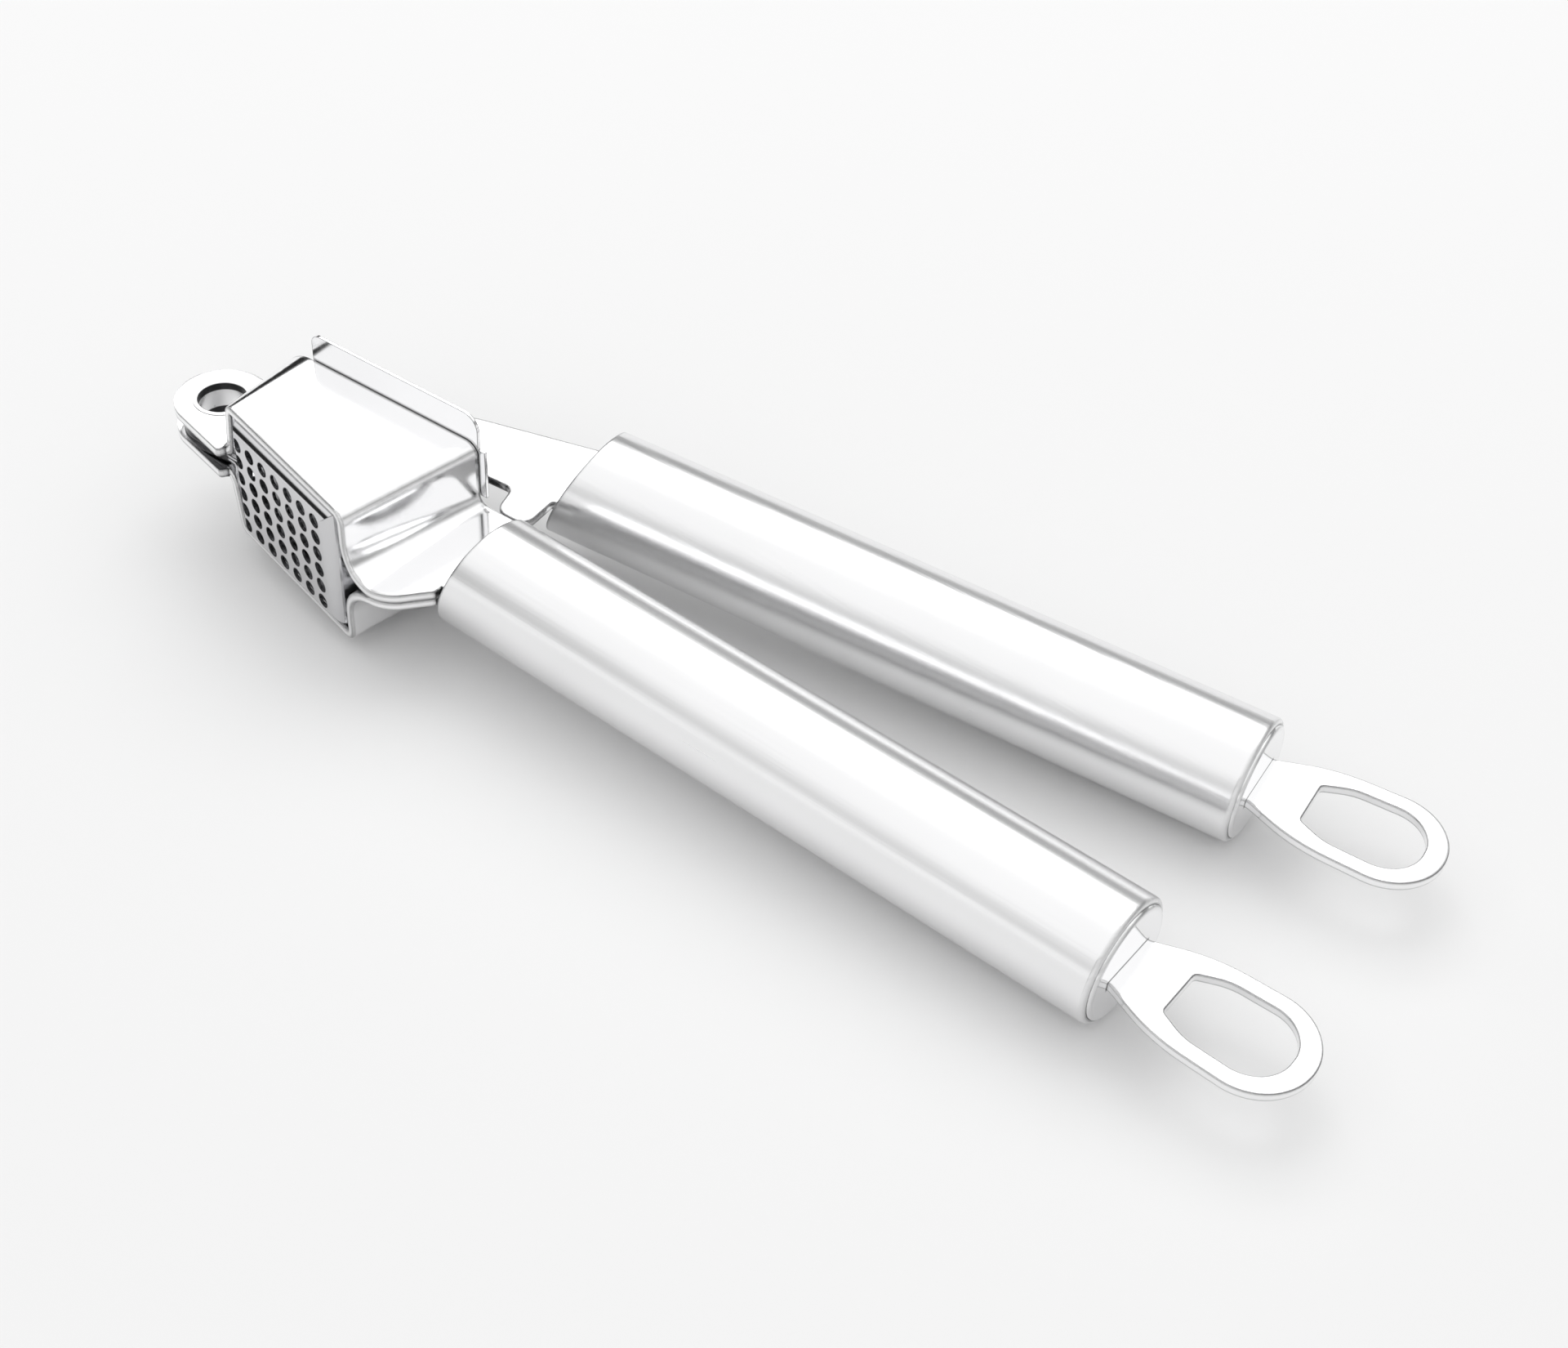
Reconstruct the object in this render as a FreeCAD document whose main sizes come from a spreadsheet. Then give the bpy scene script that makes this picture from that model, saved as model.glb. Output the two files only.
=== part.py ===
"""Garlic press: two tubular handles, a pressed-sheet frame, a swing-out strainer and a plunger.

Millimetres, +Z up. The origin is the centre of the hollow rivet on the mid-plane between the two
frame shells. The rivet's axis is Z, and the frame handle runs along +X. The plunger's pieces are
drawn in the closed position, parallel to the frame handle, and then turned open about Z.
"""
import math
import os

import FreeCAD
import Part
import Sketcher
from FreeCAD import Placement, Rotation, Vector

# name, value in millimetres (degrees for the angles), meaning
DIMENSIONS = [
    ("open_angle", 6.85, "plunger handle angle in the rest pose"),
    ("sheet", 1.4, "thickness of the frame and arm sheets"),
    ("strainer_sheet", 0.5, "thickness of the strainer sheet"),
    ("play", 0.05, "gap between flat pieces that slide on each other"),
    ("ear_radius", 7.2, "outer radius of the frame ears"),
    ("ear_inner", 1.3, "height of the inner face of a frame ear"),
    ("roof_top", 12.0, "height of the hopper roof"),
    ("roof_bend_front", 1.6, "outer radius of the bend beside the ear, at the front"),
    ("roof_bend_back", 6.9, "outer radius of the bend beside the ear, behind the back edge"),
    ("wall_bend", 2.2, "outer radius of the bend beside the arm"),
    ("foot_front", 5.2, "radius of the wall foot at the front"),
    ("foot_back", 1.8, "radius of the wall foot at the back"),
    ("rivet_bore", 3.7, "inner radius of the hollow rivet"),
    ("rivet_radius", 4.1, "outer radius of the hollow rivet"),
    ("rivet_flange", 4.45, "radius of the hollow rivet's flanges"),
    ("rivet_proud", 0.15, "how far the flanges stand out from the ears"),
    ("rivet_hole", 4.15, "radius of the rivet hole in the frame shells"),
    ("swing_hole", 4.16, "radius of the rivet hole in the turning pieces"),
    ("eye_radius", 6.2, "outer radius of the arm's eye"),
    ("tab_radius", 6.1, "outer radius of the strainer's tabs"),
    ("tube_radius", 9.0, "outer radius of the handle tubes"),
    ("tube_bore", 8.2, "inner radius of the handle tubes"),
    ("tube_mouth", 54.4, "distance of the tube mouths from the rivet"),
    ("tube_tip", 162.7, "distance of the loop ends of the tubes from the rivet"),
    ("frame_slant", 0.3, "slope of the cut across the frame tube's mouth"),
    ("plunger_slant", 0.43, "slope of the cut across the plunger tube's mouth"),
    ("shoulder_gap", 0.5, "gap between the sheets' shoulders and the tube mouths"),
    ("edge_round", 0.3, "radius of the softened edges of the cut sheets"),
    ("plug_radius", 8.15, "radius of the end caps"),
    ("plug_depth", 6.0, "depth of the end caps inside the tubes"),
    ("plug_proud", 0.5, "how far the end caps stand out"),
    ("handle_offset", 18.3, "distance from the rivet to the axis of the plunger handle"),
    ("strip_half", 4.6, "half width of the loop strip where it enters the cap"),
    ("eye_start", 7.8, "distance from the tube tip to the straight side of the eye"),
    ("face_offset", 7.0, "strainer face: distance in front of the rivet at X = 0"),
    ("face_slope", 0.2, "strainer face: slope in plan"),
    ("face_half", 10.3, "half height of the strainer box"),
    ("face_bend", 2.0, "outer bend radius around the strainer face"),
    ("near_radius", 15.6, "radius of the strainer wall nearest the rivet"),
    ("far_radius", 41.9, "radius of the strainer wall farthest from the rivet"),
    ("lip_half", 16.7, "half height of the strainer lips"),
    ("side_lip_half", 11.0, "half height of the strainer side lip"),
    ("hole_radius", 1.13, "radius of the strainer holes"),
    ("hole_rows", 6, "rows of strainer holes"),
    ("hole_columns", 7, "columns of strainer holes"),
    ("row_pitch", 3.0, "distance between the rows"),
    ("column_pitch", 3.5, "distance between the columns"),
    ("first_column", 15.7, "distance of the first column along the face"),
    ("shoe_half", 9.2, "half height of the plunger shoe"),
    ("shoe_gap", 0.5, "gap left between shoe and strainer face when closed"),
    ("shoe_plate", 1.2, "thickness of the shoe's face"),
    ("shoe_side", 1.0, "thickness of the shoe's sides"),
    ("bracket_sheet", 1.2, "thickness of the brackets"),
    ("pin_radius", 1.5, "shank radius of the small rivets"),
    ("pin_hole", 1.55, "radius of the holes for the small rivets"),
]
SIZE = {name: value for name, value, meaning in DIMENSIONS}

# plan lines y = offset + slope * x
SHELL_FRONT = (-5.85, -0.205)
FRONT_START = 9.4
FRONT_END = 43.5
SECTION_FRONT = -18.0
SECTION_MIDDLE = -8.6
SECTION_BACK = 12.0
SHELL_BACK = (6.95, 0.053)
LIP_FRONT = (7.05, 0.053)
LIP_BACK = (7.55, 0.053)
FACE_LINE = (-SIZE["face_offset"], -SIZE["face_slope"])
MIDDLE_PINS = [(23.0, -4.5), (31.5, -4.5)]
TANG_END = 72.0
TANG_BACK = 3.9

os.makedirs("parts", exist_ok=True)
doc = FreeCAD.newDocument("garlic_press")
sheet = doc.addObject("Spreadsheet::Sheet", "dims")
for row, (name, value, meaning) in enumerate(DIMENSIONS, start=1):
    sheet.set("A%d" % row, name)
    sheet.set("B%d" % row, str(value))
    sheet.set("C%d" % row, meaning)
    sheet.setAlias("B%d" % row, name)
doc.recompute()


# ---------------------------------------------------------------- small geometry helpers

def line_y(line, x):
    """Height of a plan line at x."""
    return line[0] + line[1] * x


def shifted(line, distance):
    """The plan line moved by a distance at right angles to itself, towards +Y."""
    return (line[0] + distance * math.hypot(1.0, line[1]), line[1])


def on_circle(line, radius):
    """The point with positive x where a plan line crosses a circle about the rivet."""
    offset, slope = line
    a = 1.0 + slope * slope
    b = offset * slope
    c = offset * offset - radius * radius
    x = (-b + math.sqrt(b * b - a * c)) / a
    return (x, line_y(line, x))


def tangent_point(point, radius, side):
    """Where a straight edge from the point touches a circle about the rivet."""
    reach = math.hypot(point[0], point[1])
    angle = math.atan2(point[1], point[0]) + side * math.acos(radius / reach)
    return (radius * math.cos(angle), radius * math.sin(angle))


def offset_path(points, distance):
    """An open path of (x, y) points moved sideways, to the right of its direction."""
    normals = []
    for (x0, y0), (x1, y1) in zip(points, points[1:]):
        length = math.hypot(x1 - x0, y1 - y0)
        normals.append(((y1 - y0) / length, -(x1 - x0) / length))
    moved = [(points[0][0] + normals[0][0] * distance, points[0][1] + normals[0][1] * distance)]
    for (ax, ay), (bx, by), (x, y) in zip(normals, normals[1:], points[1:-1]):
        scale = distance / (1.0 + ax * bx + ay * by)
        moved.append((x + (ax + bx) * scale, y + (ay + by) * scale))
    last = points[-1]
    moved.append((last[0] + normals[-1][0] * distance, last[1] + normals[-1][1] * distance))
    return moved


# ---------------------------------------------------------------- FreeCAD helpers

def new_body(label):
    """An empty body that becomes one node."""
    body = doc.addObject("PartDesign::Body", label)
    body.Label = label
    return body


def new_sketch(body, name, role, offset=0.0, formula=None, turn=0.0):
    """A sketch on one of the body's own planes, moved along the plane's normal."""
    plane = [item for item in body.Origin.OriginFeatures if item.Role == role][0]
    sketch = body.newObject("Sketcher::SketchObject", body.Name + "_" + name)
    sketch.AttachmentSupport = [(plane, "")]
    sketch.MapMode = "FlatFace"
    sketch.AttachmentOffset = Placement(Vector(0, 0, offset), Rotation(Vector(0, 1, 0), turn))
    if formula:
        sketch.setExpression("AttachmentOffset.Base.z", formula)
    return sketch


def constrain(sketch, kind, arguments, name=None, formula=None):
    """Add one constraint and, with a formula, bind it to the spreadsheet."""
    index = sketch.addConstraint(Sketcher.Constraint(kind, *arguments))
    if formula:
        sketch.renameConstraint(index, name)
        sketch.setExpression(".Constraints." + name, formula)


def corner(before, point, after, radius):
    """Start, middle and end of the arc that rounds a corner."""
    ux, uy = before[0] - point[0], before[1] - point[1]
    vx, vy = after[0] - point[0], after[1] - point[1]
    ul, vl = math.hypot(ux, uy), math.hypot(vx, vy)
    ux, uy, vx, vy = ux / ul, uy / ul, vx / vl, vy / vl
    half = math.acos(max(-1.0, min(1.0, ux * vx + uy * vy))) / 2.0
    cut = radius / math.tan(half)
    bx, by = ux + vx, uy + vy
    scale = radius / math.sin(half) / math.hypot(bx, by)
    centre = (point[0] + bx * scale, point[1] + by * scale)
    start = (point[0] + ux * cut, point[1] + uy * cut)
    end = (point[0] + vx * cut, point[1] + vy * cut)
    return centre, start, end


def arc_geometry(centre, radius, start, end, turn):
    """An arc from start to end; turn is +1 for counter-clockwise. Returns it with its end numbers."""
    circle = Part.Circle(Vector(centre[0], centre[1], 0), Vector(0, 0, 1), radius)
    first = math.atan2(start[1] - centre[1], start[0] - centre[0])
    last = math.atan2(end[1] - centre[1], end[0] - centre[0])
    if turn > 0:
        return Part.ArcOfCircle(circle, first, last), 1, 2
    return Part.ArcOfCircle(circle, last, first), 2, 1


def outline(sketch, vertices, bind=None):
    """Draw a closed outline. Each vertex is (x, y), (x, y, corner radius), or
    (x, y, "arc", turn) when the edge to the next vertex is an arc about the origin.
    bind maps a vertex number to (axis, formula) for a distance from the origin."""
    count = len(vertices)
    pieces = []
    for i, vertex in enumerate(vertices):
        before, after = vertices[i - 1], vertices[(i + 1) % count]
        start = end = (vertex[0], vertex[1])
        if len(vertex) == 3 and vertex[2] > 0:
            centre, start, end = corner(before, vertex, after, vertex[2])
            cross = (vertex[0] - before[0]) * (after[1] - vertex[1])
            cross -= (vertex[1] - before[1]) * (after[0] - vertex[0])
            pieces.append(("arc", centre, vertex[2], start, end, 1 if cross > 0 else -1, None))
        pieces.append(("edge", vertex, end, i))
    drawn = []
    for k, piece in enumerate(pieces):
        if piece[0] == "arc":
            shape, first, last = arc_geometry(*piece[1:6])
        else:
            following = pieces[(k + 1) % len(pieces)]
            target = following[3] if following[0] == "arc" else following[2]
            if len(piece[1]) == 4:
                radius = math.hypot(piece[1][0], piece[1][1])
                shape, first, last = arc_geometry((0, 0), radius, piece[2], target, piece[1][3])
            else:
                shape = Part.LineSegment(Vector(*piece[2], 0), Vector(*target, 0))
                first, last = 1, 2
        drawn.append((sketch.addGeometry(shape, False), first, last))
    for (one, _, one_end), (two, two_start, _) in zip(drawn, drawn[1:] + drawn[:1]):
        constrain(sketch, "Coincident", (one, one_end, two, two_start))
    for vertex_number, (axis, formula) in (bind or {}).items():
        index = [k for k, piece in enumerate(pieces) if piece[0] == "edge" and piece[3] == vertex_number][0]
        value = pieces[index][2][0 if axis == "X" else 1]
        geometry, first, _ = drawn[index]
        name = "at_%s_%d" % (axis.lower(), vertex_number)
        if value < 0:
            constrain(sketch, "Distance" + axis, (geometry, first, -1, 1, -value), name, formula)
        else:
            constrain(sketch, "Distance" + axis, (-1, 1, geometry, first, value), name, formula)


def rectangle(sketch, low, high, bind=None):
    """An upright rectangle between two corners."""
    (x0, y0), (x1, y1) = low, high
    outline(sketch, [(x0, y0), (x1, y0), (x1, y1), (x0, y1)], bind)


def circle(sketch, name, radius, formula, centre=(0.0, 0.0)):
    """A full circle whose radius follows the spreadsheet."""
    shape = Part.Circle(Vector(centre[0], centre[1], 0), Vector(0, 0, 1), radius)
    index = sketch.addGeometry(shape, False)
    if centre == (0.0, 0.0):
        constrain(sketch, "Coincident", (index, 3, -1, 1))
    constrain(sketch, "Radius", (index, radius), name, formula)


def pad(body, sketch, length, formula=None, symmetric=False, reverse=False):
    """Extrude a sketch."""
    feature = body.newObject("PartDesign::Pad", sketch.Name + "_pad")
    feature.Profile = sketch
    feature.Length = length
    if formula:
        feature.setExpression("Length", formula)
    feature.SideType = "Symmetric" if symmetric else "One side"
    feature.Reversed = reverse
    return feature


def pocket(body, sketch, length=None, symmetric=False, reverse=False):
    """Cut with a sketch, right through when no length is given."""
    feature = body.newObject("PartDesign::Pocket", sketch.Name + "_cut")
    feature.Profile = sketch
    feature.SideType = "Symmetric" if symmetric else "One side"
    if length is None:
        feature.Type = "ThroughAll"
    else:
        feature.Length = length
    feature.Reversed = reverse
    return feature


def round_edges(body, name, radius, chosen, formula=None):
    """Fillet the edges of the body's last feature for which chosen(edge) is true."""
    doc.recompute()
    base = body.Tip
    names = ["Edge%d" % (i + 1) for i, edge in enumerate(base.Shape.Edges) if chosen(edge)]
    feature = body.newObject("PartDesign::Fillet", body.Name + "_" + name)
    feature.Base = (base, names)
    feature.Radius = radius
    if formula:
        feature.setExpression("Radius", formula)
    return feature


def all_points(edge, test):
    """True when both ends and the middle of an edge pass the test."""
    first, last = edge.ParameterRange
    points = [edge.valueAt(first), edge.valueAt((first + last) / 2.0), edge.valueAt(last)]
    return all(test(point) for point in points)


def turned_open(item):
    """Turn a piece of the plunger from the closed position to the rest pose."""
    item.Placement = Placement(Vector(0, 0, 0), Rotation(Vector(0, 0, 1), SIZE["open_angle"]))
    item.setExpression("Placement.Rotation.Angle", "dims.open_angle * 1 deg")


# ---------------------------------------------------------------- frame shells

def shell_profile(y, side):
    """Outline of a shell's cross-section in the plane at y: ear, wall, roof, wall, arm."""
    roof_x = 11.4 - 0.245 * (y + 8.2)
    wall_x = 42.2 + 0.119 * (y + 14.5)
    share = (y + 14.5) / 23.8
    foot = SIZE["foot_front"] + (SIZE["foot_back"] - SIZE["foot_front"]) * share
    depth = max(0.0, (y - SECTION_MIDDLE) / (SECTION_BACK - SECTION_MIDDLE))
    bend = SIZE["roof_bend_front"] + (SIZE["roof_bend_back"] - SIZE["roof_bend_front"]) * depth
    thick = SIZE["sheet"]
    ear = SIZE["ear_inner"] + thick
    top = SIZE["roof_top"]
    outer = [(-12.0, ear), (roof_x - 1.3, ear), (roof_x, top), (wall_x, top), (wall_x, thick), (84.0, thick)]
    inner = offset_path(outer, thick)
    outer_radii = [0, 1.3, bend, SIZE["wall_bend"], foot, 0]
    inner_radii = [0, 1.3 + thick, bend - thick, SIZE["wall_bend"] - thick, foot + thick, 0]
    upper = [(x, side * z, r) for (x, z), r in zip(outer, outer_radii)]
    lower = [(x, side * z, r) for (x, z), r in zip(inner, inner_radii)]
    return upper + lower[::-1]


def shell_plan():
    """Plan outline of a shell: ear, front edge, arm, tang and back edge."""
    radius = SIZE["ear_radius"]
    nose = (8.9, -8.93)
    ear_front = tangent_point(nose, radius, -1)
    shoulder = SIZE["tube_mouth"] - SIZE["shoulder_gap"]
    wing = shoulder - 0.5
    return [
        (0.0, radius, "arc", 1),
        ear_front,
        (nose[0], nose[1], 0.6),
        (FRONT_START, line_y(SHELL_FRONT, FRONT_START)),
        (FRONT_END, line_y(SHELL_FRONT, FRONT_END)),
        (49.2, -15.0, 6.0),
        (shoulder, -8.9, 0.6),
        (shoulder, -7.4),
        (TANG_END, -7.4, 1.5),
        (TANG_END, TANG_BACK, 1.5),
        (wing, TANG_BACK, 0.4),
        (wing, line_y(SHELL_BACK, wing), 2.0),
        (10.0, line_y(SHELL_BACK, 10.0)),
        (7.0, 7.2),
    ]


def front_rim(edge):
    """True for the rims of a shell's cut along the front, from the ear to the tube's shoulder."""
    def on_cut(point):
        along_front = abs(point.y - line_y(SHELL_FRONT, point.x)) < 1e-3 and point.x > FRONT_START - 0.1
        return along_front or (point.x > FRONT_END - 0.1 and point.y < -9.0)

    first, last = edge.ParameterRange
    run = edge.valueAt(last) - edge.valueAt(first)
    upright = math.hypot(run.x, run.y) < 1e-3
    at_corner = edge.valueAt(first).x < FRONT_START + 0.1 or edge.valueAt(first).x > FRONT_END - 0.1
    return all_points(edge, on_cut) and not (upright and at_corner)


def build_shell(label, side):
    """One pressed shell; side is +1 for the upper and -1 for the lower one.

    Its back wing is thinned from inside, so that the plunger's arm slides in between the wings."""
    body = new_body(label)
    sections = []
    for name, y in (("front", SECTION_FRONT), ("middle", SECTION_MIDDLE), ("back", SECTION_BACK)):
        section = new_sketch(body, name + "_section", "XZ_Plane", -y)
        outline(section, shell_profile(y, side), {2: ("Y", "dims.roof_top")})
        sections.append(section)
    loft = body.newObject("PartDesign::AdditiveLoft", body.Name + "_pressing")
    loft.Profile = sections[0]
    loft.Sections = sections[1:]
    loft.Ruled = True
    plan = new_sketch(body, "plan", "XY_Plane")
    rectangle(plan, (-20.0, -30.0), (90.0, 30.0))
    outline(plan, shell_plan())
    pocket(body, plan, symmetric=True)
    hole = new_sketch(body, "rivet_hole", "XY_Plane")
    circle(hole, "hole_radius", SIZE["rivet_hole"], "dims.rivet_hole")
    pocket(body, hole, symmetric=True)
    relief = new_sketch(body, "arm_relief", "XY_Plane")
    rectangle(relief, (46.6, TANG_BACK + SIZE["play"]), (60.0, 14.0))
    thinned = pocket(body, relief, SIZE["sheet"] + 2 * SIZE["play"], symmetric=True)
    thinned.setExpression("Length", "dims.sheet + 2 * dims.play")
    round_edges(body, "front_rims", SIZE["edge_round"], front_rim, "dims.edge_round")
    return body


# ---------------------------------------------------------------- handles

def build_tube(label, slant_name):
    """A handle tube along X with a slanted mouth and a rounded tip."""
    body = new_body(label)
    slant = SIZE[slant_name]
    mouth = SIZE["tube_mouth"]
    start = mouth - slant * SIZE["tube_radius"]
    start_formula = "dims.tube_mouth - dims.%s * dims.tube_radius" % slant_name
    ring = new_sketch(body, "ring", "YZ_Plane", start, start_formula)
    for name in ("tube_radius", "tube_bore"):
        circle(ring, name, SIZE[name], "dims." + name)
    pad(body, ring, SIZE["tube_tip"] - start, "dims.tube_tip - (%s)" % start_formula)
    cut = new_sketch(body, "mouth", "XZ_Plane")
    reach = 12.0
    rise = slant * reach
    outline(cut, [(40.0, -reach), (mouth - rise, -reach), (mouth + rise, reach), (40.0, reach)])
    pocket(body, cut, symmetric=True)

    def on_tip(point):
        return abs(point.x - SIZE["tube_tip"]) < 1e-4

    def on_outside(point):
        return abs(math.hypot(point.y, point.z) - SIZE["tube_radius"]) < 1e-4

    def on_mouth(point):
        return abs(point.x - mouth - slant * point.z) < 1e-3

    def on_rim(point):
        return on_tip(point) and on_outside(point)

    round_edges(body, "tip_round", 0.6, lambda edge: all_points(edge, on_rim))
    round_edges(body, "mouth_round", 0.25, lambda edge: all_points(edge, on_mouth))
    return body


def build_head_cap(label, slant_name, slot_low, slot_high, slot_half):
    """The slotted plug just inside a slanted tube mouth, drawn about the tube's axis."""
    body = new_body(label)
    slab = new_sketch(body, "slab", "XZ_Plane")
    reach = 10.0
    rise = SIZE[slant_name] * reach
    near = SIZE["tube_mouth"] + 1.2
    far = near + 1.6
    outline(slab, [(near - rise, -reach), (far - rise, -reach), (far + rise, reach), (near + rise, reach)])
    pad(body, slab, 24.0, symmetric=True)
    trim = new_sketch(body, "trim", "YZ_Plane")
    rectangle(trim, (-16.0, -16.0), (16.0, 16.0))
    circle(trim, "plug_radius", SIZE["plug_radius"], "dims.plug_radius")
    pocket(body, trim, symmetric=True)
    slot = new_sketch(body, "slot", "YZ_Plane")
    rectangle(slot, (slot_low, -slot_half), (slot_high, slot_half))
    pocket(body, slot, symmetric=True)
    return body


def build_end_cap(label):
    """The polished plug that closes a tube at the loop end, slotted for the loop strip."""
    body = new_body(label)
    start = SIZE["tube_tip"] - SIZE["plug_depth"]
    disc = new_sketch(body, "disc", "YZ_Plane", start, "dims.tube_tip - dims.plug_depth")
    circle(disc, "plug_radius", SIZE["plug_radius"], "dims.plug_radius")
    pad(body, disc, SIZE["plug_depth"] + SIZE["plug_proud"], "dims.plug_depth + dims.plug_proud")
    face = SIZE["tube_tip"] + SIZE["plug_proud"]
    round_edges(body, "edge", 0.5, lambda edge: all_points(edge, lambda p: abs(p.x - face) < 1e-4))
    slot = new_sketch(body, "slot", "YZ_Plane")
    half = SIZE["strip_half"] + SIZE["play"]
    high = SIZE["sheet"] / 2 + SIZE["play"]
    rectangle(slot, (-half, -high), (half, high), {1: ("X", "dims.strip_half + dims.play")})
    pocket(body, slot, symmetric=True)
    return body


def build_loop(label):
    """The flat hanging loop with its D-shaped eye and the tail held in the cap."""
    body = new_body(label)
    tip = SIZE["tube_tip"]
    half = SIZE["strip_half"]
    plan = new_sketch(body, "plan", "XY_Plane")
    outline(plan, [
        (tip - 12.0, -half), (tip + 0.8, -half, 3.0), (tip + 8.6, -7.75, 25.0), (tip + 26.35, -8.35, 8.0),
        (tip + 26.35, 8.35, 8.0), (tip + 8.6, 7.75, 25.0), (tip + 0.8, half, 3.0), (tip - 12.0, half),
    ], {0: ("X", "dims.tube_tip - 12"), 7: ("Y", "dims.strip_half")})
    pad(body, plan, SIZE["sheet"], "dims.sheet", symmetric=True)
    eye = new_sketch(body, "eye", "XY_Plane")
    start = tip + SIZE["eye_start"]
    outline(eye, [
        (start, -3.7, 0.8), (tip + 11.8, -5.5, 8.0), (tip + 23.4, -5.8, 5.3),
        (tip + 23.4, 5.8, 5.3), (tip + 11.8, 5.5, 8.0), (start, 3.7, 0.8),
    ])
    pocket(body, eye, symmetric=True)

    def rim(edge):
        flat = all_points(edge, lambda p: abs(abs(p.z) - SIZE["sheet"] / 2) < 1e-4)
        return flat and all_points(edge, lambda p: p.x > tip + 0.9)

    round_edges(body, "soft_edges", 0.2, rim)
    return body


# ---------------------------------------------------------------- rivet, strainer

def build_hollow_rivet(label):
    """The hollow rivet: a sleeve with a flange rolled over at each end."""
    body = new_body(label)
    bore = SIZE["rivet_bore"]
    sleeve = SIZE["rivet_radius"]
    seat = SIZE["ear_inner"] + SIZE["sheet"]
    crown = seat + SIZE["rivet_proud"]
    flange = SIZE["rivet_flange"]
    profile = new_sketch(body, "profile", "XZ_Plane")
    outline(profile, [
        (bore, -crown, 0.15), (flange, -crown, 0.1), (flange, -seat), (sleeve, -seat),
        (sleeve, seat), (flange, seat), (flange, crown, 0.1), (bore, crown, 0.15),
    ], {3: ("X", "dims.rivet_radius")})
    turn = body.newObject("PartDesign::Revolution", body.Name + "_turn")
    turn.Profile = profile
    turn.ReferenceAxis = (profile, ["V_Axis"])
    turn.Angle = 360.0
    return body


def strip_plan(x0, x1):
    """Plan outline of a piece of the strainer's flange."""
    return [
        (x0, line_y(LIP_FRONT, x0)), (x1, line_y(LIP_FRONT, x1)),
        (x1, line_y(LIP_BACK, x1)), (x0, line_y(LIP_BACK, x0)),
    ]


def box_plan(front, back, near_radius, far_radius):
    """Plan outline between two lines and two arcs about the rivet."""
    front_near = on_circle(front, near_radius)
    front_far = on_circle(front, far_radius)
    back_far = on_circle(back, far_radius)
    back_near = on_circle(back, near_radius)
    return [
        front_near,
        (front_far[0], front_far[1], "arc", 1),
        back_far,
        (back_near[0], back_near[1], "arc", -1),
    ]


def on_line(line):
    """A test for points whose plan position lies on a line."""
    return lambda point: abs(point.y - line_y(line, point.x)) < 1e-3


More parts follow.
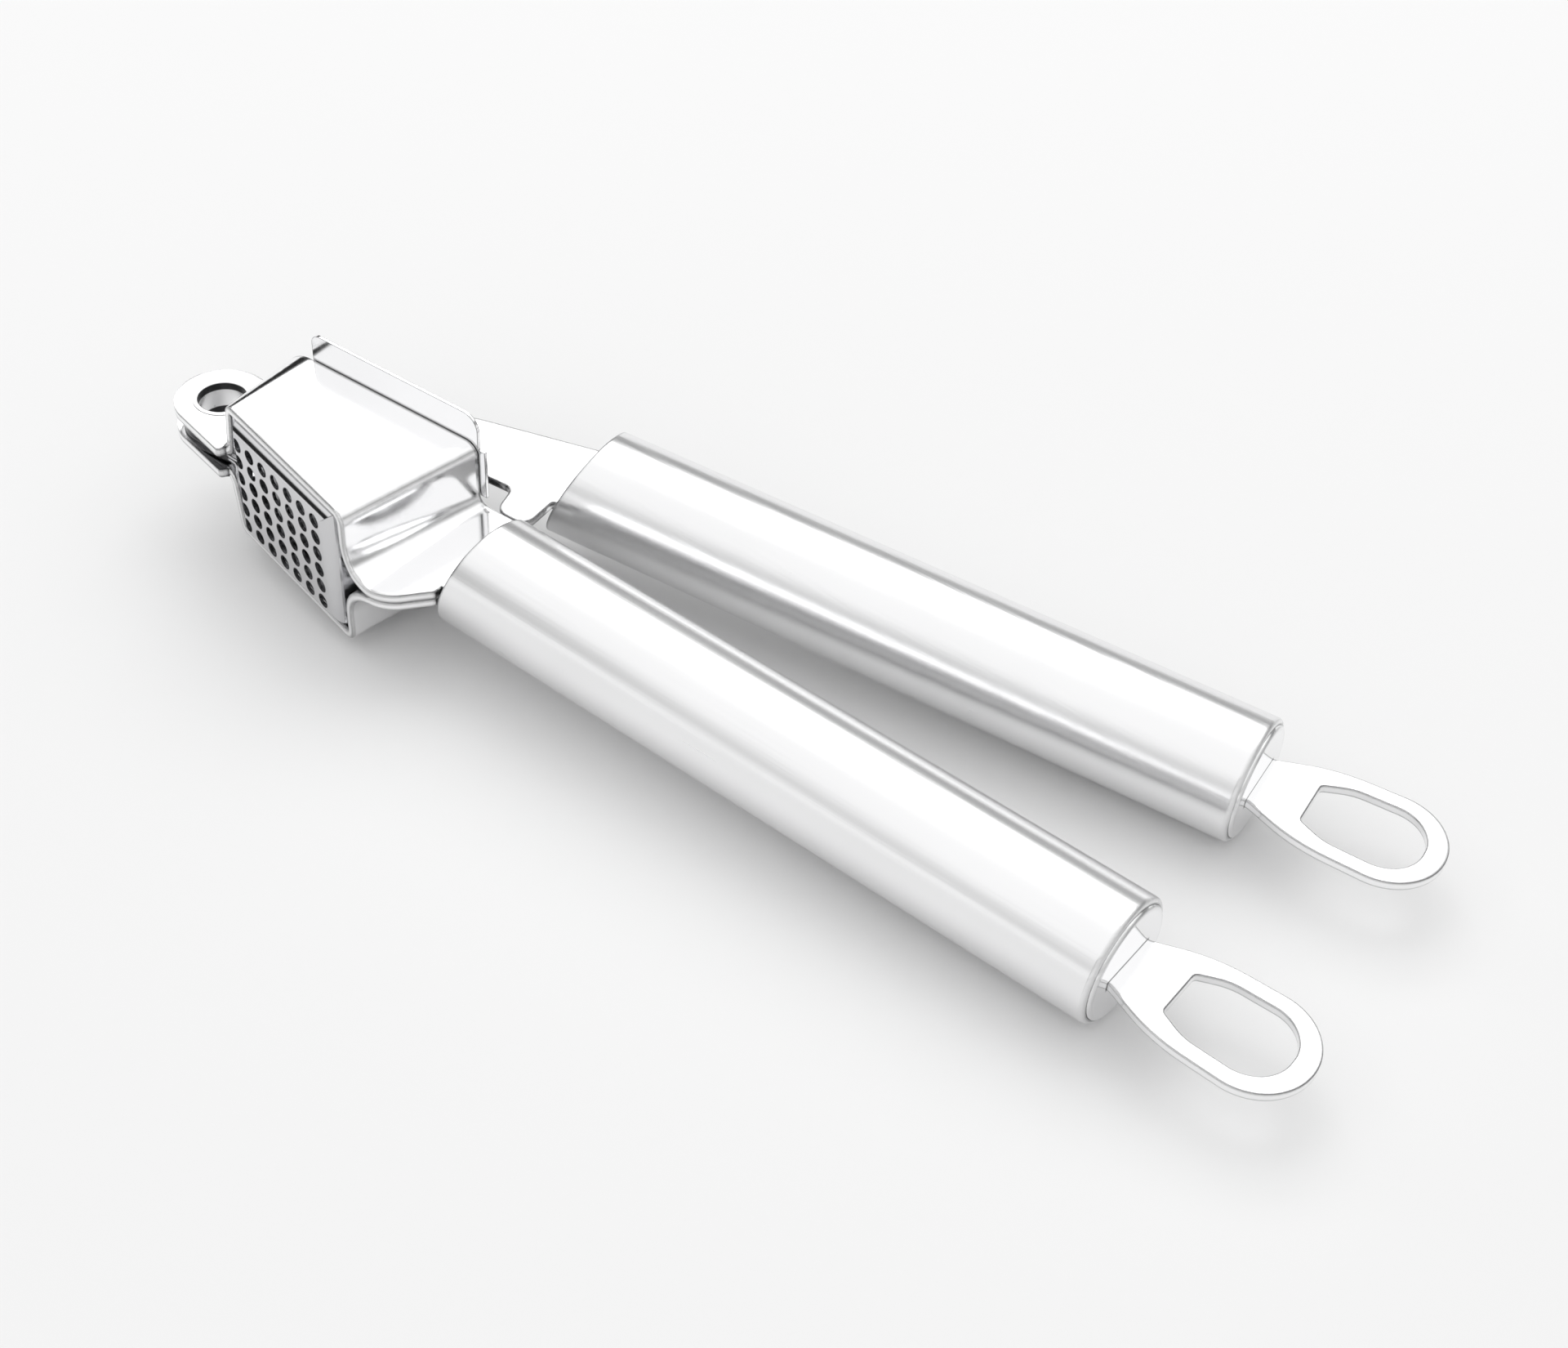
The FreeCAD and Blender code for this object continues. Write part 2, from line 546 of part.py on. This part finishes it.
def build_strainer(label):
    """The folded strainer box with its holes, finger lips and pivot tabs."""
    body = new_body(label)
    plan = new_sketch(body, "plan", "XY_Plane")
    outline(plan, box_plan(FACE_LINE, LIP_BACK, SIZE["near_radius"], SIZE["far_radius"]))
    pad(body, plan, 2 * SIZE["face_half"], "2 * dims.face_half", symmetric=True)
    on_face = on_line(FACE_LINE)
    round_edges(body, "bends", SIZE["face_bend"], lambda edge: all_points(edge, on_face), "dims.face_bend")
    doc.recompute()
    base = body.Tip
    test = on_line(LIP_BACK)
    opened = [
        "Face%d" % (i + 1) for i, face in enumerate(base.Shape.Faces)
        if all(test(vertex.Point) for vertex in face.Vertexes)
    ]
    hollow = body.newObject("PartDesign::Thickness", body.Name + "_hollow")
    hollow.Base = (base, opened)
    hollow.Value = SIZE["strainer_sheet"]
    hollow.setExpression("Value", "dims.strainer_sheet")
    hollow.Reversed = True
    doc.recompute()

    lips = new_sketch(body, "lips", "XY_Plane")
    outline(lips, strip_plan(12.9, 45.0))
    pad(body, lips, 2 * SIZE["lip_half"], "2 * dims.lip_half", symmetric=True)

    def lip_corner(x):
        def test_point(point):
            return abs(abs(point.z) - SIZE["lip_half"]) < 1e-4 and abs(point.x - x) < 1e-4
        return lambda edge: all_points(edge, test_point)

    round_edges(body, "lip_near", 1.6, lip_corner(12.9))
    round_edges(body, "lip_far", 2.6, lip_corner(45.0))
    side = new_sketch(body, "side_lip", "XY_Plane")
    outline(side, strip_plan(41.0, 46.2))
    pad(body, side, 2 * SIZE["side_lip_half"], "2 * dims.side_lip_half", symmetric=True)

    inside = new_sketch(body, "mouth", "XZ_Plane", -6.6)
    clear = SIZE["face_half"] - SIZE["strainer_sheet"]
    rectangle(inside, (14.6, -clear), (40.2, clear), {2: ("Y", "dims.face_half - dims.strainer_sheet")})
    pocket(body, inside)
    slot = new_sketch(body, "arm_slot", "XY_Plane")
    rectangle(slot, (11.0, -7.2), (16.8, 11.0))
    pocket(body, slot, 1.7, symmetric=True)
    side_slot = new_sketch(body, "side_slot", "XY_Plane")
    rectangle(side_slot, (39.0, 8.0), (48.0, 12.0))
    pocket(body, side_slot, 5.6, symmetric=True)

    low = SIZE["sheet"] / 2 + SIZE["play"]
    for name, sign in (("upper_tab", 1), ("lower_tab", -1)):
        tab = new_sketch(body, name, "XY_Plane", sign * low, "%d * (dims.sheet / 2 + dims.play)" % sign)
        near = SIZE["near_radius"] + 0.2
        front = (near * math.cos(math.radians(-22)), near * math.sin(math.radians(-22)))
        back = (near * math.cos(math.radians(20)), near * math.sin(math.radians(20)))
        ear_front = tangent_point(front, SIZE["tab_radius"], -1)
        ear_back = tangent_point(back, SIZE["tab_radius"], 1)
        outline(tab, [(ear_back[0], ear_back[1], "arc", 1), ear_front, (front[0], front[1], "arc", 1), back])
        circle(tab, "swing_hole", SIZE["swing_hole"], "dims.swing_hole")
        pad(body, tab, SIZE["strainer_sheet"], "dims.strainer_sheet", reverse=sign < 0)

    angle = math.degrees(math.atan(SIZE["face_slope"]))
    hole = new_sketch(body, "hole", "XZ_Plane", SIZE["face_offset"], "dims.face_offset", -angle)
    low_row = -SIZE["row_pitch"] * (SIZE["hole_rows"] - 1) / 2
    circle(hole, "hole_radius", SIZE["hole_radius"], "dims.hole_radius", (SIZE["first_column"], low_row))
    punched = pocket(body, hole, 1.2)
    doc.recompute()
    grid = body.newObject("PartDesign::LinearPattern", body.Name + "_grid")
    grid.Originals = [punched]
    grid.Direction = (hole, ["H_Axis"])
    grid.Occurrences = SIZE["hole_columns"]
    grid.Length = SIZE["column_pitch"] * (SIZE["hole_columns"] - 1)
    grid.setExpression("Length", "dims.column_pitch * (dims.hole_columns - 1)")
    grid.Direction2 = (hole, ["V_Axis"])
    grid.Occurrences2 = SIZE["hole_rows"]
    grid.Length2 = SIZE["row_pitch"] * (SIZE["hole_rows"] - 1)
    grid.setExpression("Length2", "dims.row_pitch * (dims.hole_rows - 1)")
    body.Tip = grid
    return body


# ---------------------------------------------------------------- plunger

SHOE_FRONT = shifted(FACE_LINE, SIZE["strainer_sheet"] + SIZE["shoe_gap"])
SHOE_BACK = (6.0, 0.0)
WEB_FRONT = shifted(SHOE_FRONT, SIZE["shoe_plate"])


def build_arm(label):
    """The plunger's flat arm: eye, neck, web inside the shoe, wide arm and tang."""
    body = new_body(label)
    eye = SIZE["eye_radius"]
    elbow = (31.9, 20.4)
    neck = (15.5, -6.2)
    eye_back = tangent_point(elbow, eye, 1)
    eye_front = tangent_point(neck, eye, -1)
    shoulder = SIZE["tube_mouth"] - SIZE["shoulder_gap"] - 0.2
    low = SIZE["handle_offset"] - 7.4
    high = SIZE["handle_offset"] + 6.9
    plan = new_sketch(body, "plan", "XY_Plane")
    outline(plan, [
        (eye_back[0], eye_back[1], "arc", 1),
        eye_front,
        (neck[0], neck[1], 2.0),
        (18.2, line_y(WEB_FRONT, 18.2)),
        (38.4, line_y(WEB_FRONT, 38.4)),
        (40.1, 0.0, 30.0),
        (39.6, 10.0),
        (46.9, 10.0, 1.5),
        (48.0, 4.5, 2.5),
        (shoulder, 4.3, 2.0),
        (shoulder, low, 0.5),
        (TANG_END, low, 1.5),
        (TANG_END, high, 1.5),
        (52.6, 24.9, 8.0),
        (elbow[0], elbow[1], 25.0),
    ])
    pad(body, plan, SIZE["sheet"], "dims.sheet", symmetric=True)
    holes = new_sketch(body, "holes", "XY_Plane")
    circle(holes, "swing_hole", SIZE["swing_hole"], "dims.swing_hole")
    for number, centre in enumerate(MIDDLE_PINS):
        circle(holes, "pin_hole_%d" % number, SIZE["pin_hole"], "dims.pin_hole", centre)
    pocket(body, holes, symmetric=True)

    def arm_rim(edge):
        flat = all_points(edge, lambda p: abs(abs(p.z) - SIZE["sheet"] / 2) < 1e-4)
        return flat and all_points(edge, lambda p: p.x > 41.0 and p.x < shoulder + 0.1)

    round_edges(body, "rims", SIZE["edge_round"], arm_rim, "dims.edge_round")
    turned_open(body)
    return body


def build_shoe(label):
    """The folded channel whose face pushes the garlic through the strainer."""
    body = new_body(label)
    plan = new_sketch(body, "plan", "XY_Plane")
    outline(plan, box_plan(SHOE_FRONT, SHOE_BACK, 17.2, 40.8))
    pad(body, plan, 2 * SIZE["shoe_half"], "2 * dims.shoe_half", symmetric=True)
    round_edges(body, "bends", 1.3, lambda edge: all_points(edge, on_line(SHOE_FRONT)))
    inside = new_sketch(body, "inside", "XY_Plane")
    outline(inside, [
        (8.0, line_y(WEB_FRONT, 8.0)), (48.0, line_y(WEB_FRONT, 48.0)),
        (48.0, 14.0), (8.0, 14.0),
    ])
    channel = pocket(body, inside, 2 * (SIZE["shoe_half"] - SIZE["shoe_side"]), symmetric=True)
    channel.setExpression("Length", "2 * (dims.shoe_half - dims.shoe_side)")
    turned_open(body)
    return body


def build_bracket(label, side):
    """An angle piece between the arm and the inside of the shoe."""
    body = new_body(label)
    seat = SIZE["sheet"] / 2
    back = shifted(WEB_FRONT, SIZE["bracket_sheet"])
    leg = new_sketch(body, "leg", "XY_Plane", side * seat, "%d * dims.sheet / 2" % side)
    outline(leg, [
        (19.5, line_y(WEB_FRONT, 19.5)), (35.5, line_y(WEB_FRONT, 35.5)),
        (35.5, -1.0, 2.0), (19.5, -1.0, 2.0),
    ])
    for number, centre in enumerate(MIDDLE_PINS):
        circle(leg, "pin_hole_%d" % number, SIZE["pin_hole"], "dims.pin_hole", centre)
    pad(body, leg, SIZE["bracket_sheet"], "dims.bracket_sheet", reverse=side < 0)
    wall = new_sketch(body, "wall", "XY_Plane", side * seat, "%d * dims.sheet / 2" % side)
    outline(wall, [
        (19.5, line_y(WEB_FRONT, 19.5)), (35.5, line_y(WEB_FRONT, 35.5)),
        (35.5, line_y(back, 35.5)), (19.5, line_y(back, 19.5)),
    ])
    height = SIZE["shoe_half"] - SIZE["shoe_side"] - seat
    pad(body, wall, height, "dims.shoe_half - dims.shoe_side - dims.sheet / 2", reverse=side < 0)
    turned_open(body)
    return body


def build_pins(label):
    """The two small rivets through the arm and the brackets, as one node."""
    half = SIZE["sheet"] / 2 + SIZE["bracket_sheet"]
    pins = []
    for number, (x, y) in enumerate(MIDDLE_PINS):
        shank = doc.addObject("Part::Cylinder", "pin_shank_%d" % number)
        shank.Radius = SIZE["pin_radius"]
        shank.setExpression("Radius", "dims.pin_radius")
        shank.Height = 2 * half
        shank.setExpression("Height", "dims.sheet + 2 * dims.bracket_sheet")
        shank.Placement = Placement(Vector(x, y, -half), Rotation())
        heads = []
        for side, name in ((1, "top"), (-1, "bottom")):
            head = doc.addObject("Part::Cone", "pin_%s_%d" % (name, number))
            head.Radius1 = 2.6
            head.Radius2 = 1.7
            head.Height = 0.8
            turn = Rotation() if side > 0 else Rotation(Vector(1, 0, 0), 180)
            head.Placement = Placement(Vector(x, y, side * half), turn)
            heads.append(head)
        pin = doc.addObject("Part::MultiFuse", "pin_%d" % number)
        pin.Shapes = [shank] + heads
        pins.append(pin)
    node = doc.addObject("Part::Compound", label)
    node.Label = label
    node.Links = pins
    turned_open(node)
    return node


def beside(body, axis_y):
    """Move a piece drawn about a tube's axis to the plunger handle and turn it open."""
    body.Placement = Placement(Vector(0, 0, 0), Rotation(Vector(0, 0, 1), SIZE["open_angle"]))
    body.Placement.Base = body.Placement.Rotation.multVec(Vector(0, axis_y, 0))
    body.setExpression("Placement.Base.x", "-dims.handle_offset * sin(dims.open_angle * 1 deg)")
    body.setExpression("Placement.Base.y", "dims.handle_offset * cos(dims.open_angle * 1 deg)")
    body.setExpression("Placement.Rotation.Angle", "dims.open_angle * 1 deg")
    return body


# ---------------------------------------------------------------- assembly

shift = SIZE["handle_offset"]
tang_half = SIZE["sheet"] + SIZE["play"]
arm_half = SIZE["sheet"] / 2 + SIZE["play"]
nodes = [
    build_shell("upper_frame_shell", 1),
    build_shell("lower_frame_shell", -1),
    build_tube("frame_handle_tube", "frame_slant"),
    build_head_cap("frame_head_cap", "frame_slant", -7.45, 3.95, tang_half),
    build_end_cap("frame_end_cap"),
    build_loop("frame_hanging_loop"),
    build_hollow_rivet("pivot_eyelet"),
    build_strainer("strainer_basket"),
    build_arm("plunger_arm"),
    build_shoe("plunger_shoe"),
    build_bracket("upper_plunger_bracket", 1),
    build_bracket("lower_plunger_bracket", -1),
    build_pins("plunger_rivets"),
    beside(build_tube("plunger_handle_tube", "plunger_slant"), shift),
    beside(build_head_cap("plunger_head_cap", "plunger_slant", -7.45, 6.95, arm_half), shift),
    beside(build_end_cap("plunger_end_cap"), shift),
    beside(build_loop("plunger_hanging_loop"), shift),
]
doc.recompute()

faulty = [item.Name for item in doc.Objects if "Invalid" in item.State or "Error" in item.State]
if faulty:
    raise RuntimeError("objects with errors: %s" % faulty)
for node in nodes:
    if node.Shape.isNull() or not node.Shape.isValid():
        raise RuntimeError("no valid shape: " + node.Label)
for node in nodes:
    node.Shape.exportStep(os.path.join("parts", node.Label + ".step"))
    box = node.Shape.BoundBox
    print("%-24s solids %d volume %9.1f  x %.1f..%.1f y %.1f..%.1f z %.1f..%.1f" % (
        node.Label, len(node.Shape.Solids), node.Shape.Volume,
        box.XMin, box.XMax, box.YMin, box.YMax, box.ZMin, box.ZMax))
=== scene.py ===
"""Studio scene for the garlic press: finishes for every steel part, pale floor, soft light, camera."""
import math

import bpy
from mathutils import Matrix, Vector


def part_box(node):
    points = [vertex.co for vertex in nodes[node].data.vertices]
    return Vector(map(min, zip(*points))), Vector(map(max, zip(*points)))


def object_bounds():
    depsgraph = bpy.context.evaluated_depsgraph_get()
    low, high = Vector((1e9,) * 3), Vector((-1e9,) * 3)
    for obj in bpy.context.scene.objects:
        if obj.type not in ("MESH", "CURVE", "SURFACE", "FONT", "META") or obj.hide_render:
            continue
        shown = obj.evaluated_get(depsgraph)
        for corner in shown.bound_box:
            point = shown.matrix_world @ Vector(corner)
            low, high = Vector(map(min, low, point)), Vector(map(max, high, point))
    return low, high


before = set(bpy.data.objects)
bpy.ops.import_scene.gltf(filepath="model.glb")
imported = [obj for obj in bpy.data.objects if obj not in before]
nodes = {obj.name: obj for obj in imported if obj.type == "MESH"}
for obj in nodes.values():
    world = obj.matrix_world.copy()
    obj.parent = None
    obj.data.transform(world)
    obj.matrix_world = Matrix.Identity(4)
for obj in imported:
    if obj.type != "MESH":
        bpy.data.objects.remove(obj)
cad_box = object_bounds()

OPEN_ANGLE = math.radians(6.85)
BORE_END = 0.0027
RING_END = 0.0015
FLOOR_SIZE = 20.0
SKY_STRENGTH = 1.1
CAMERA_PLACE = (0.2317, -0.1696, 0.2146)
CAMERA_DEGREES = (-35.98, 43.73, 3.99)
CAMERA_LENS = 52.1

WHITE = (1.0, 1.0, 1.0)
HAZE = (0.62, 0.62, 0.62)
SCREEN = (0.35, 0.35, 0.35)
BLACK = (0.02, 0.02, 0.02)
FLOOR = (0.82, 0.82, 0.82)


# ---------------------------------------------------------------- node helpers

def new_material(name):
    """An empty node material with its Principled shader."""
    material = bpy.data.materials.new(name)
    material.use_nodes = True
    return material, material.node_tree, material.node_tree.nodes["Principled BSDF"]


def add(tree, kind, **values):
    """A shader node; keyword values are set on its inputs (underscores stand for spaces)."""
    node = tree.nodes.new(kind)
    for key, value in values.items():
        node.inputs[key.replace("_", " ")].default_value = value
    return node


def join(tree, source, target):
    """Connect an output socket to an input socket."""
    tree.links.new(source, target)


def remap(tree, source, low, high):
    """Map noise from 0..1 to the range low..high."""
    node = add(tree, "ShaderNodeMapRange", To_Min=low, To_Max=high)
    join(tree, source, node.inputs["Value"])
    return node.outputs["Result"]


def falloff(tree, source, start, end):
    """A soft step: 1 on the side of start, 0 beyond end; start may be the larger of the two."""
    node = add(tree, "ShaderNodeMapRange", From_Min=start, From_Max=end, To_Min=1.0, To_Max=0.0)
    node.interpolation_type = "SMOOTHSTEP"
    join(tree, source, node.inputs["Value"])
    return node.outputs["Result"]


def blend(tree, factor, first, second):
    """Mix two colours; each is a colour triple or an output socket."""
    mix = tree.nodes.new("ShaderNodeMix")
    mix.data_type = "RGBA"
    join(tree, factor, mix.inputs["Factor"])
    for socket, colour in (("A", first), ("B", second)):
        if isinstance(colour, tuple):
            mix.inputs[socket].default_value = (*colour, 1.0)
        else:
            join(tree, colour, mix.inputs[socket])
    return mix.outputs["Result"]


def grain(tree, stretch, turn, scale, detail=4.0):
    """Noise in the row's own coordinates, drawn out along one direction."""
    place = tree.nodes.new("ShaderNodeTexCoord")
    mapping = tree.nodes.new("ShaderNodeMapping")
    mapping.inputs["Rotation"].default_value = (0.0, 0.0, turn)
    mapping.inputs["Scale"].default_value = stretch
    join(tree, place.outputs["Object"], mapping.inputs["Vector"])
    noise = add(tree, "ShaderNodeTexNoise", Scale=scale, Detail=detail, Roughness=0.6)
    join(tree, mapping.outputs["Vector"], noise.inputs["Vector"])
    return noise.outputs["Fac"]


def combine(tree, operation, *sources):
    """A Math node over one or two output sockets."""
    node = tree.nodes.new("ShaderNodeMath")
    node.operation = operation
    for source, socket in zip(sources, node.inputs):
        join(tree, source, socket)
    return node.outputs["Value"]


def along(tree, axis):
    """A coordinate of the row's own frame, in metres."""
    place = tree.nodes.new("ShaderNodeTexCoord")
    split = tree.nodes.new("ShaderNodeSeparateXYZ")
    join(tree, place.outputs["Object"], split.inputs["Vector"])
    return split.outputs[axis]


def front_painted_reflection_mask(tree):
    """1 on the part of a piece that lies in front of the hinge, 0 behind it: there a painted grey
    stands in for the shadowed floor that the strainer's face reflects.
    """
    return falloff(tree, along(tree, "Y"), 0.0, 0.006)


def ear_gap_painted_shade_mask(tree):
    """1 near the hinge: the sheets stacked between the two ears get painted shade there, since little
    light reaches them.
    """
    return falloff(tree, along(tree, "X"), 0.007, 0.008)


def rivet_mouth_painted_shade_mask(tree):
    """1 on a ring of wall just inside each mouth of the hollow rivet, from RING_END to BORE_END, where
    painted shade darkens the rivet's mouth.
    """
    height = combine(tree, "ABSOLUTE", along(tree, "Z"))
    below_lip = falloff(tree, height, BORE_END - 0.00001, BORE_END + 0.00001)
    above_middle = falloff(tree, height, RING_END + 0.0001, RING_END - 0.0001)
    return combine(tree, "MULTIPLY", below_lip, above_middle)


def painted_edge_shade_mask(tree, rounded):
    """1 on the very edges of a piece, 0 on its faces: how far the rounded normal leaves the face. It
    places a painted dark line, a painted reflection of dark surroundings along the edges.
    """
    shape = tree.nodes.new("ShaderNodeNewGeometry")
    angle = tree.nodes.new("ShaderNodeVectorMath")
    angle.operation = "DOT_PRODUCT"
    join(tree, shape.outputs["Normal"], angle.inputs[0])
    join(tree, rounded, angle.inputs[1])
    return falloff(tree, angle.outputs["Value"], 0.95, 0.998)


def steel(name, colour, rough, stretch, scale, turn=0.0, bump=0.004, painted_edge_width=0.0005, patches=()):
    """Stainless steel whose roughness, colour and surface follow one grain.

    The edge width argument sets the width of a painted dark line along the edges, a painted reflection
    of dark surroundings rather than a mark on the steel. Each patch is another colour and the function
    that makes its mask; here every patch is painted shade or painted reflection."""
    material, tree, shader = new_material(name)
    shader.inputs["Metallic"].default_value = 1.0
    fine = grain(tree, stretch, -turn, scale)
    cloud = grain(tree, (1.0, 1.0, 1.0), 0.0, 60.0, 2.0)
    join(tree, remap(tree, fine, rough * 0.7, rough * 1.3), shader.inputs["Roughness"])
    darker = tuple(value * (1.0 - TINT) for value in colour)
    lighter = tuple(min(1.0, value * (1.0 + TINT)) for value in colour)
    tone = blend(tree, cloud, darker, lighter)
    for second, mask in patches:
        tone = blend(tree, mask(tree), tone, second)
    # painted reflection: a near-black line along every edge stands in for the dark surroundings that
    # rounded edges reflect
    bevel = tree.nodes.new("ShaderNodeBevel")
    bevel.inputs["Radius"].default_value = painted_edge_width
    tone = blend(tree, painted_edge_shade_mask(tree, bevel.outputs["Normal"]), tone, PAINTED_SHADE_DARK)
    join(tree, tone, shader.inputs["Base Color"])
    relief = add(tree, "ShaderNodeBump", Strength=bump, Distance=0.0002)
    join(tree, fine, relief.inputs["Height"])
    join(tree, bevel.outputs["Normal"], relief.inputs["Normal"])
    join(tree, relief.outputs["Normal"], shader.inputs["Normal"])
    return material


def finish(names, material):
    """Give CAD nodes a finish."""
    for name in names:
        mesh = nodes[name].data
        mesh.materials.clear()
        mesh.materials.append(material)


# ---------------------------------------------------------------- finishes

LENGTHWISE = (0.04, 1.0, 1.0)
UPRIGHT = (1.0, 1.0, 0.06)
EVEN = (1.0, 1.0, 1.0)
SATIN = (0.02, 1.0, 1.0)
BRIGHT = (0.93, 0.93, 0.935)
PALE = (0.86, 0.86, 0.865)
# grey for a painted reflection: the strainer's face darkened as if reflecting the shadowed floor
PAINTED_REFLECTION_GREY = (0.62, 0.62, 0.63)
DULL = (0.40, 0.40, 0.41)
# near black for painted shade: the dark edge lines, the sheets between the ears and the mouths of the
# rivet
PAINTED_SHADE_DARK = (0.05, 0.05, 0.052)
TINT = 0.02

finish(
    ["upper_frame_shell", "lower_frame_shell"],
    steel("polished_frame_steel", BRIGHT, 0.10, LENGTHWISE, 1500.0, painted_edge_width=0.0007),
)
finish(
    ["plunger_arm"],
    steel(
        "polished_arm_steel", BRIGHT, 0.12, LENGTHWISE, 1500.0, OPEN_ANGLE, painted_edge_width=0.0009,
        # painted shade on the sheets between the ears
        patches=[(PAINTED_SHADE_DARK, ear_gap_painted_shade_mask)],
    ),
)
finish(
    ["strainer_basket"],
    steel(
        "polished_strainer_steel", BRIGHT, 0.12, UPRIGHT, 1500.0, painted_edge_width=0.0002,
        # painted reflection greys the strainer's face; painted shade darkens the sheets between the
        # ears
        patches=[(PAINTED_REFLECTION_GREY, front_painted_reflection_mask), (PAINTED_SHADE_DARK, ear_gap_painted_shade_mask)],
    ),
)
finish(
    ["plunger_shoe", "upper_plunger_bracket", "lower_plunger_bracket"],
    steel("shoe_steel", DULL, 0.22, UPRIGHT, 1200.0, OPEN_ANGLE),
)
finish(
    ["pivot_eyelet"],
    # painted shade: a dark ring inside each mouth of the rivet
    steel("eyelet_steel", BRIGHT, 0.30, EVEN, 900.0, painted_edge_width=0.0001, patches=[(PAINTED_SHADE_DARK, rivet_mouth_painted_shade_mask)]),
)
finish(
    ["plunger_rivets"],
    steel("rivet_steel", PALE, 0.10, EVEN, 900.0),
)
finish(
    ["frame_handle_tube"],
    steel("satin_frame_tube", PALE, 0.24, SATIN, 1800.0, bump=0.08),
)
finish(
    ["plunger_handle_tube"],
    steel("satin_plunger_tube", PALE, 0.24, SATIN, 1800.0, OPEN_ANGLE, bump=0.08),
)
finish(
    ["frame_end_cap", "frame_head_cap", "frame_hanging_loop"],
    steel("polished_frame_cap", BRIGHT, 0.10, EVEN, 700.0),
)
finish(
    ["plunger_end_cap", "plunger_head_cap", "plunger_hanging_loop"],
    steel("polished_plunger_cap", BRIGHT, 0.10, EVEN, 700.0, OPEN_ANGLE),
)


# ---------------------------------------------------------------- floor, light, camera

def make_floor():
    """The pale table: a plane through the strainer's lip and the underside of the handles' far end."""
    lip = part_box("strainer_basket")[0]
    tube_low, tube_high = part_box("frame_handle_tube")
    bottom = -(tube_high.y - tube_low.y) / 2.0
    slope = math.atan2(bottom - lip.z, tube_high.x - lip.x)
    bpy.ops.mesh.primitive_plane_add(size=FLOOR_SIZE)
    floor = bpy.context.object
    floor.name = "floor"
    floor.matrix_world = Matrix.Translation(lip) @ Matrix.Rotation(-slope, 4, "Y")
    material, _, shader = new_material("pale_floor")
    shader.inputs["Base Color"].default_value = (*FLOOR, 1.0)
    shader.inputs["Roughness"].default_value = 0.9
    shader.inputs["Specular IOR Level"].default_value = 0.0
    floor.data.materials.append(material)


def make_sky():
    """A white dome, greyer low down, with a grey screen behind and two dark ones past the hinge."""
    world = bpy.data.worlds.new("studio")
    world.use_nodes = True
    bpy.context.scene.world = world
    tree = world.node_tree
    background = tree.nodes["Background"]
    place = tree.nodes.new("ShaderNodeTexCoord")
    split = tree.nodes.new("ShaderNodeSeparateXYZ")
    join(tree, place.outputs["Generated"], split.inputs["Vector"])
    x, y, z = [split.outputs[axis] for axis in "XYZ"]
    below_top = falloff(tree, z, 0.44, 0.54)
    above_foot = falloff(tree, z, 0.12, 0.07)
    band = combine(tree, "MULTIPLY", below_top, above_foot)
    behind = falloff(tree, y, 0.35, 0.15)
    screen = combine(tree, "MULTIPLY", band, behind)
    hinge_side = falloff(tree, x, -0.68, -0.52)
    dark_band = combine(tree, "MULTIPLY", band, hinge_side)
    beside = falloff(tree, combine(tree, "ABSOLUTE", y), 0.35, 0.15)
    dark_ends = combine(tree, "MULTIPLY", dark_band, beside)
    low = falloff(tree, z, 0.20, 0.65)
    colour = blend(tree, low, WHITE, HAZE)
    ground_glow = falloff(tree, z, 0.15, 0.20)
    colour = blend(tree, ground_glow, colour, WHITE)
    colour = blend(tree, screen, colour, SCREEN)
    colour = blend(tree, dark_ends, colour, BLACK)
    join(tree, colour, background.inputs["Color"])
    background.inputs["Strength"].default_value = SKY_STRENGTH


def soft_box(name, position, target, size, power):
    """A square soft light that faces a target."""
    data = bpy.data.lights.new(name, "AREA")
    data.shape = "SQUARE"
    data.size = size
    data.energy = power
    light = bpy.data.objects.new(name, data)
    light.location = position
    light.rotation_euler = (target - Vector(position)).to_track_quat("-Z", "Y").to_euler()
    bpy.context.scene.collection.objects.link(light)


def make_camera():
    """The camera looks down on the press from the side of the frame handle."""
    data = bpy.data.cameras.new("camera")
    data.lens = CAMERA_LENS
    data.sensor_width = 36.0
    data.sensor_fit = "HORIZONTAL"
    data.clip_start = 0.01
    camera = bpy.data.objects.new("camera", data)
    azimuth, elevation, roll = [math.radians(angle) for angle in CAMERA_DEGREES]
    forward = Vector((
        math.sin(azimuth) * math.cos(elevation),
        math.cos(azimuth) * math.cos(elevation),
        -math.sin(elevation),
    ))
    look = forward.to_track_quat("-Z", "Y").to_matrix().to_4x4()
    place = Matrix.Translation(Vector(CAMERA_PLACE))
    camera.matrix_world = place @ look @ Matrix.Rotation(roll, 4, "Z")
    bpy.context.scene.collection.objects.link(camera)
    bpy.context.scene.camera = camera


make_floor()
make_sky()
middle = (Vector(cad_box[0]) + Vector(cad_box[1])) / 2.0
soft_box("key", (-0.3, 0.5, 0.9), middle, 0.9, 3.0)
make_camera()

bpy.context.scene.view_settings.view_transform = "Standard"
